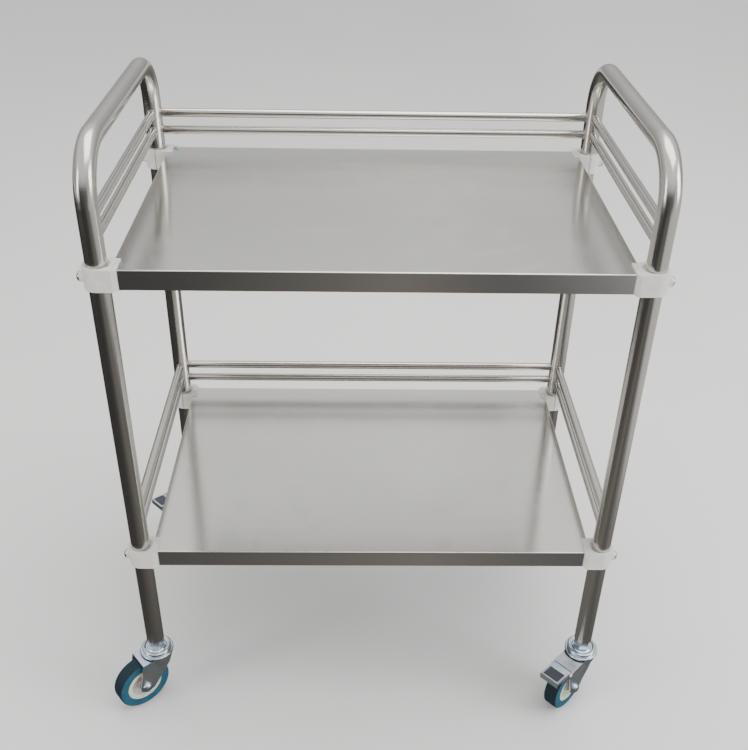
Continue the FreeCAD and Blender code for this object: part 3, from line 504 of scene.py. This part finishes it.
def ring_tube(bm, centres, radii):
    """A closed tube through a ring of centres."""
    sides = 8
    count = len(centres)
    rings = []
    for i, centre in enumerate(centres):
        along = (centres[(i + 1) % count] - centres[i - 1]).normalized()
        across = along.orthogonal().normalized() if not rings else across - along * across.dot(along)
        across.normalize()
        other = along.cross(across)
        ring = []
        for k in range(sides):
            turn = 2 * math.pi * k / sides
            out = across * math.cos(turn) + other * math.sin(turn)
            ring.append(bm.verts.new(centre + out * radii[i]))
        rings.append(ring)
    for i in range(count):
        after = rings[(i + 1) % count]
        shift = 0
        if i == count - 1:
            shift = min(range(sides), key=lambda s: (after[s].co - rings[i][0].co).length)
        for k in range(sides):
            a, b = rings[i][k], rings[i][(k + 1) % sides]
            c, d = after[(k + 1 + shift) % sides], after[(k + shift) % sides]
            bm.faces.new((a, b, c, d))


def weld_bead(bm, leg, outward, level, seed):
    """The bead round one rail's end, where the rail meets the leg."""
    aside = Vector((0, 0, 1)).cross(outward)
    centres, radii = [], []
    steps = 64
    for i in range(steps):
        turn = 2 * math.pi * i / steps
        off = RAIL_RADIUS * math.cos(turn)
        reach = math.sqrt(TUBE_RADIUS ** 2 - off ** 2)
        place = Vector((leg[0], leg[1], level)) + outward * reach + aside * off
        place.z += RAIL_RADIUS * math.sin(turn)
        centres.append(place)
        ripple = abs(math.sin(turn * 13 + seed))
        lump = noise.noise(place * 300 + Vector((seed, 0, 0)))
        radii.append((0.62 + 0.22 * ripple + 0.16 * lump) * MM)
    ring_tube(bm, centres, radii)


def weld_beads(material):
    bm = bmesh.new()
    for number, level in enumerate(RAIL_LEVELS):
        for side in (-1, 1):
            for end in (-1, 1):
                seed = 1.7 * number + side + 3.1 * end
                weld_bead(bm, (side * LEG, end * LEG_Y), Vector((0, -end, 0)), level, seed)
            weld_bead(bm, (side * LEG, LEG_Y), Vector((-side, 0, 0)), level, 5.3 * number + side)
    new_piece("weld_beads", bm, material, FIXED)


def lathe(bm, profile, centre):
    """Turn a closed (radius, height) profile about the upright axis through centre."""
    segments = 96
    rings = []
    for k in range(segments):
        turn = 2 * math.pi * k / segments
        out = Vector((math.cos(turn), math.sin(turn), 0))
        rings.append([bm.verts.new(centre + out * r + Vector((0, 0, h))) for r, h in profile])
    for k in range(segments):
        here, after = rings[k], rings[(k + 1) % segments]
        for i in range(len(profile)):
            j = (i + 1) % len(profile)
            bm.faces.new((here[i], here[j], after[j], after[i]))


CUP_PROFILE = (
    # radius and height over the cup's underside, millimetres
    (21.0, 0.0), (21.0, 2.7), (20.7, 3.9), (19.9, 4.8), (18.7, 5.2), (17.5, 4.95), (16.6, 4.3),
    (15.4, 3.85), (14.2, 3.95), (13.4, 4.7), (12.9, 5.15), (6.2, 5.15), (6.2, 3.6), (17.6, 3.6),
    (19.3, 2.6), (19.3, 0.0),
)


def swivel_cups(material):
    """The upper races: a rolled outer ring, a dished ring inside it, a flat under the stem's hexagon."""
    bm = bmesh.new()
    for corner in CORNERS:
        place, _ = joint_place(f"{corner}_swivel")
        centre = Vector((place.x, place.y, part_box("swivel_cups")[0].z))
        lathe(bm, [(r * MM, h * MM) for r, h in CUP_PROFILE], centre)
    bmesh.ops.recalc_face_normals(bm, faces=bm.faces)
    cups = new_piece("cup_pressings", bm, material, FIXED, 40)
    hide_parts("swivel_cups")


def race_edge(corner):
    """Test for the rolled outer edges of a fork's race."""
    swivel, _ = joint_place(f"{corner}_swivel")
    fork = frame["nodes"][f"{corner}_caster_fork"]
    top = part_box(f"{corner}_caster_fork")[1].z
    radius = max((v.co.xy - swivel.xy).length for v in fork.data.vertices if v.co.z > top - 0.1 * MM)
    return lambda edge: all(abs((v.co.xy - swivel.xy).length - radius) < 0.1 * MM for v in edge.verts)


def film(name):
    """Thin light-blue protective film."""
    g = Graph(name, IOR=1.45)
    crease = g.noise(400, 3)
    g.set("Base Color", g.ramp(crease, [(0.3, (0.30, 0.52, 0.74)), (0.7, (0.58, 0.76, 0.88))]))
    g.set("Roughness", g.span(crease, 0.3, 0.7, 0.18, 0.4))
    g.bump(crease, 0.0002, 0.5)
    return g.material


FILM_SCRAPS = {
    # clamp: reach inboard, rise, and the scrap's ends behind the clamp's rear face, millimetres
    "upper_rear_left_clamp": (7, 4.5, 17, 8),
    "upper_front_left_clamp": (2.5, 1.2, 13, 3),
}


def film_scraps(material):
    """Scraps of protective film that stick out from under two clamp flaps."""
    bm = bmesh.new()
    steps = 6
    for node, (reach, rise, far, near) in FILM_SCRAPS.items():
        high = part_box(node)[1]
        rows = []
        for i in range(steps + 1):
            share = i / steps
            x = high.x + (share * (reach + 2) - 2) * MM
            z = SHELF_TOP["upper"] + (0.25 + rise * share ** 2) * MM
            rows.append([bm.verts.new((x, high.y - y * MM, z + 0.5 * MM * share * math.sin(y)))
                         for y in (far - 1.5 * share, (far + near) / 2, near + 2 * share)])
        for before, after in zip(rows, rows[1:]):
            for k in range(2):
                bm.faces.new((before[k], before[k + 1], after[k + 1], after[k]))
    bmesh.ops.solidify(bm, geom=bm.faces, thickness=0.12 * MM)
    bmesh.ops.recalc_face_normals(bm, faces=bm.faces)
    new_piece("film_scraps", bm, material, FIXED)


# ---------------------------------------------------------------- the cart, dressed

def dress():
    base = (0.64, 0.618, 0.582)
    tube = tube_steel("tube_steel", base, (0.19, 0.225))
    light = tuple(c * 1.05 for c in base)
    side_rail = tube_steel("side_rail_steel", light, (0.15, 0.18), (0, 1, 0))
    back_rail = tube_steel("back_rail_steel", light, (0.15, 0.18), (1, 0, 0))
    sheet = sheet_steel("sheet_steel", (0.745, 0.735, 0.712))
    plate = zinc("zinc_plate")
    pressing = zinc("zinc_pressing", (0.80, 0.82, 0.83), (0.15, 0.26))
    bolt = bright_steel("bright_steel")
    clamp = nylon("clamp_nylon", (0.74, 0.725, 0.69), (0.82, 0.81, 0.78))
    finishes = {
        "steel_tube": tube, "steel_rail": side_rail, "steel_sheet": sheet, "clamp_nylon": clamp,
        "bolt_steel": bolt, "zinc_steel": plate, "zinc_pressing": pressing, "ball_steel": bolt,
    }
    for part in frame["record"]["subparts"]:
        node, slot = part["node"], part["material_slot"]
        if slot in finishes:
            assign(frame["nodes"][node], back_rail if "back_rail" in node else finishes[slot])
    for corner in CORNERS:
        assign(frame["nodes"][f"{corner}_wheel_tread"], tread_rubber(corner))
        assign(frame["nodes"][f"{corner}_wheel_hub"], hub_nylon(corner))
        for tier in TIERS:
            node = f"{tier}_{corner}_clamp"
            softened(node, f"{node}_moulding", clamp, 0.4 * MM)
        softened(f"{corner}_caster_fork", f"{corner}_fork_pressing", fork_zinc(corner), 0.35 * MM,
                 wide=(race_edge(corner), 1.3 * MM))
        softened(f"{corner}_axle_nut", f"{corner}_axle_dome", plate, 0.4 * MM)
        softened(f"{corner}_axle_bolt", f"{corner}_axle_head", plate, 0.4 * MM)
    swivel_cups(pressing)
    for corner in BRAKED:
        softened(f"{corner}_brake_pedal", f"{corner}_pedal_pressing", pedal_zinc(corner), 0.3 * MM)
    softened("caster_stems", "stem_hexagons", plate, 0.5 * MM)
    softened("caster_jam_nuts", "jam_nut_hexagons", plate, 0.5 * MM)
    softened("clamp_bolts", "bolt_heads", bolt, 0.4 * MM)
    weld_beads(side_rail)
    film_scraps(film("blue_film"))


# ---------------------------------------------------------------- studio

def emitter(name, size, place, target, colour, strength):
    light = bpy.data.lights.new(name, "AREA")
    light.shape = "RECTANGLE"
    light.size, light.size_y = size
    light.energy = strength
    light.color = colour
    lamp = bpy.data.objects.new(name, light)
    lamp.location = place
    lamp.rotation_euler = (Vector(target) - Vector(place)).to_track_quat("-Z", "Y").to_euler()
    lamp.visible_camera = False
    bpy.context.scene.collection.objects.link(lamp)


CARD_REACH = 3  # the shading of a card runs from -CARD_REACH to CARD_REACH metres


def card(name, size, place, normal, stops):
    """A flag that only reflections see, shaded from left to right by (metres, colour) stops."""
    bm = bmesh.new()
    bmesh.ops.create_grid(bm, x_segments=1, y_segments=1, size=0.5)
    mesh = bpy.data.meshes.new(name)
    bm.to_mesh(mesh)
    bm.free()
    flag = bpy.data.objects.new(name, mesh)
    flag.scale = (size[0], size[1], 1)
    flag.location = place
    flag.rotation_euler = Vector(normal).to_track_quat("Z", "Y").to_euler()
    g = Graph(name)
    glow = g.add("ShaderNodeEmission")
    x = g.split(g.add("ShaderNodeNewGeometry").outputs["Position"])[0]
    across = g.span(x, -CARD_REACH, CARD_REACH)
    shares = [((metres + CARD_REACH) / (2 * CARD_REACH), colour) for metres, colour in stops]
    g.link(g.ramp(across, shares), glow.inputs["Color"])
    g.link(glow.outputs[0], g.tree.nodes["Material Output"].inputs["Surface"])
    mesh.materials.append(g.material)
    for ray in ("camera", "diffuse", "shadow", "transmission", "volume_scatter"):
        setattr(flag, f"visible_{ray}", False)
    bpy.context.scene.collection.objects.link(flag)


def floor():
    bm = bmesh.new()
    bmesh.ops.create_grid(bm, x_segments=1, y_segments=1, size=20)
    mesh = bpy.data.meshes.new("floor")
    bm.to_mesh(mesh)
    bm.free()
    g = Graph("floor", Roughness=0.6)
    g.set("Base Color", g.ramp(g.noise(1.5, 4), [(0.3, (0.90, 0.90, 0.89)), (0.7, (0.93, 0.93, 0.92))]))
    mesh.materials.append(g.material)
    ground = bpy.data.objects.new("floor", mesh)
    bpy.context.scene.collection.objects.link(ground)


def world():
    scene_world = bpy.data.worlds.new("studio")
    bpy.context.scene.world = scene_world
    scene_world.use_nodes = True
    tree = scene_world.node_tree
    background = tree.nodes["Background"]
    place = tree.nodes.new("ShaderNodeTexCoord")
    split = tree.nodes.new("ShaderNodeSeparateXYZ")
    ramp = tree.nodes.new("ShaderNodeValToRGB")
    tree.links.new(place.outputs["Generated"], split.inputs[0])
    tree.links.new(split.outputs["Z"], ramp.inputs[0])
    tree.links.new(ramp.outputs[0], background.inputs["Color"])
    stops = [(0.0, (0.36, 0.36, 0.36)), (0.3, (0.54, 0.54, 0.54)), (0.45, (0.70, 0.70, 0.70)),
             (0.62, (0.98, 0.98, 0.98)), (1.0, (0.90, 0.90, 0.90))]
    set_stops(ramp.color_ramp.elements, stops)
    background.inputs["Strength"].default_value = 1.1


def studio():
    world()
    floor()
    emitter("softbox_top", (2.6, 1.8), (0.3, 0.2, 2.9), (0, 0, 0.4), (1, 0.99, 0.97), 50)
    emitter("window_right", (1.4, 1.8), (2.6, -0.9, 1.6), (0, 0, 0.5), (0.97, 0.99, 1), 40)
    emitter("window_left", (0.7, 1.6), (-2.6, -1.4, 1.5), (0, 0, 0.5), (1, 0.98, 0.95), 16)
    carpet = [(-1.0, (0.045, 0.045, 0.047)), (-0.5, (0.07, 0.068, 0.067)), (-0.15, (0.14, 0.135, 0.125)),
              (0.1, (0.20, 0.19, 0.175)), (0.4, (0.12, 0.117, 0.117)), (0.75, (0.24, 0.235, 0.23)),
              (1.0, (0.75, 0.75, 0.74))]
    card("flag_floor", (10, 10), (0, 0, 0.0006), (0, 0, 1), carpet)
    wall = [(-2.5, (0.05, 0.05, 0.05)), (0.0, (0.12, 0.115, 0.11)), (1.5, (0.20, 0.19, 0.19)),
            (2.8, (0.80, 0.79, 0.78))]
    card("flag_room", (7, 1.9), (0, -3.4, 0.95), (0, 1, 0), wall)


# ---------------------------------------------------------------- camera

CAMERA_LENS = 45.61  # millimetres, on a sensor 36 wide
CAMERA_SIDE = -0.0252
CAMERA_FRONT = -1.1514
CAMERA_OVER_SHELF = 0.4835
PITCH, YAW, ROLL = math.radians(33.1), math.radians(1.38), math.radians(1.15)


def camera():
    data = bpy.data.cameras.new("camera")
    data.sensor_fit = "HORIZONTAL"
    data.sensor_width = 36
    data.lens = CAMERA_LENS
    ahead = Vector((math.sin(YAW) * math.cos(PITCH), math.cos(YAW) * math.cos(PITCH), -math.sin(PITCH)))
    right = Vector((math.cos(YAW), -math.sin(YAW), 0))
    up = right.cross(ahead)
    rolled_right = right * math.cos(ROLL) + up * math.sin(ROLL)
    rolled_up = up * math.cos(ROLL) - right * math.sin(ROLL)
    turned = Matrix((rolled_right, rolled_up, -ahead)).transposed().to_4x4()
    eye = bpy.data.objects.new("camera", data)
    place = Vector((CAMERA_SIDE, CAMERA_FRONT, SHELF_TOP["upper"] + CAMERA_OVER_SHELF))
    eye.matrix_world = Matrix.Translation(place) @ turned
    bpy.context.scene.collection.objects.link(eye)
    bpy.context.scene.camera = eye


dress()
studio()
camera()
